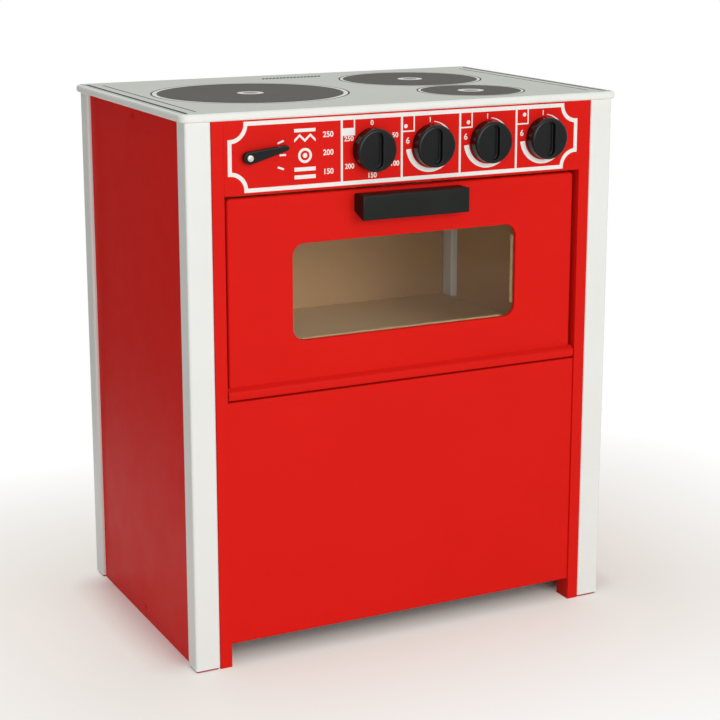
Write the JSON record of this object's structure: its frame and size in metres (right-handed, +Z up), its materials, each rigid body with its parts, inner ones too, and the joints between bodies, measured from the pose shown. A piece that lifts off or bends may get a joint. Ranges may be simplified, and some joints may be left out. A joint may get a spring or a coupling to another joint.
{
  "type": "toy oven",
  "caption": "Painted wooden play stove with corner posts, a printed hob, turning knobs, a swinging lever and a drop-front oven door with a window.",
  "frame": {"origin": "centre of the bounding box on the floor plane, under the closed stove", "axes": "+Z up; -Y is the front with the oven door; +X is to the right as seen from the front"},
  "size_m": [0.387, 0.2664, 0.445],
  "materials": {
    "white_paint": "satin white paint on wood",
    "red_paint": "glossy red paint on wood board",
    "hob_paint": "pale grey-white lacquer with printed hotplates",
    "glide_plastic": "dark red moulded glide",
    "hardboard": "raw brown hardboard",
    "raw_board": "raw pale brown board",
    "dowel_wood": "raw beech",
    "white_plastic": "moulded white plastic",
    "clear_pane": "clear acrylic sheet",
    "black_wood": "satin black paint on wood",
    "black_plastic": "moulded black plastic",
    "magnet": "ferrite magnet",
    "steel": "zinc-plated steel"
  },
  "bodies": {
    "cabinet": {"countertop": "hob_paint", "post_front_left": "white_paint", "post_front_right": "white_paint", "post_rear_left": "white_paint", "post_rear_right": "white_paint", "foot_glides": "glide_plastic", "side_panel_left": "red_paint", "side_panel_right": "red_paint", "jamb_left": "red_paint", "jamb_right": "red_paint", "control_panel": "red_paint", "lower_panel": "red_paint", "back_panel": "hardboard", "oven_floor": "raw_board", "floor_battens": "raw_board", "top_battens": "raw_board", "top_stretcher": "raw_board", "base_stretcher": "raw_board", "rear_rail_top": "raw_board", "rear_rail_bottom": "raw_board", "lower_cleats": "raw_board", "control_cleats": "raw_board", "side_dowels": "dowel_wood", "jamb_dowels": "dowel_wood", "top_screws": "steel", "back_screws": "steel", "floor_screws": "steel", "side_screws": "steel", "catch_block": "raw_board", "catch_body": "white_plastic", "catch_magnet": "magnet", "catch_screws": "steel"},
    "door": {"door_board": "red_paint", "door_rail": "red_paint", "window_pane": "clear_pane", "pane_beads": "raw_board", "bead_pins": "steel", "door_handle": "black_wood", "handle_screws": "steel", "catch_plate": "steel", "plate_screws": "steel", "rail_dowels": "dowel_wood", "pivot_pins": "steel"},
    "knob_1_body": {"knob_1": "black_plastic", "spindle_1": "steel", "spindle_clip_1": "steel"},
    "knob_2_body": {"knob_2": "black_plastic", "spindle_2": "steel", "spindle_clip_2": "steel"},
    "knob_3_body": {"knob_3": "black_plastic", "spindle_3": "steel", "spindle_clip_3": "steel"},
    "knob_4_body": {"knob_4": "black_plastic", "spindle_4": "steel", "spindle_clip_4": "steel"},
    "lever_body": {"lever": "black_plastic", "lever_pin": "steel", "lever_spacer": "steel", "lever_clip": "steel"}
  },
  "joints": [
    {"name": "door_hinge", "type": "hinge", "parent": "cabinet", "child": "door", "pos_m": [0, -0.11555, 0.2245], "axis": [1, 0, 0], "range_deg": [0, 90]},
    {"name": "knob_1_turn", "type": "hinge", "parent": "cabinet", "child": "knob_1_body", "pos_m": [-0.0343, -0.12125, 0.41], "axis": [0, 1, 0], "continuous": true},
    {"name": "knob_2_turn", "type": "hinge", "parent": "cabinet", "child": "knob_2_body", "pos_m": [0.0183, -0.12125, 0.41], "axis": [0, 1, 0], "continuous": true},
    {"name": "knob_3_turn", "type": "hinge", "parent": "cabinet", "child": "knob_3_body", "pos_m": [0.0709, -0.12125, 0.41], "axis": [0, 1, 0], "continuous": true},
    {"name": "knob_4_turn", "type": "hinge", "parent": "cabinet", "child": "knob_4_body", "pos_m": [0.1235, -0.12125, 0.41], "axis": [0, 1, 0], "continuous": true},
    {"name": "lever_swing", "type": "hinge", "parent": "cabinet", "child": "lever_body", "pos_m": [-0.14, -0.12125, 0.41], "axis": [0, 1, 0], "range_deg": [-11, 33]}
  ]
}
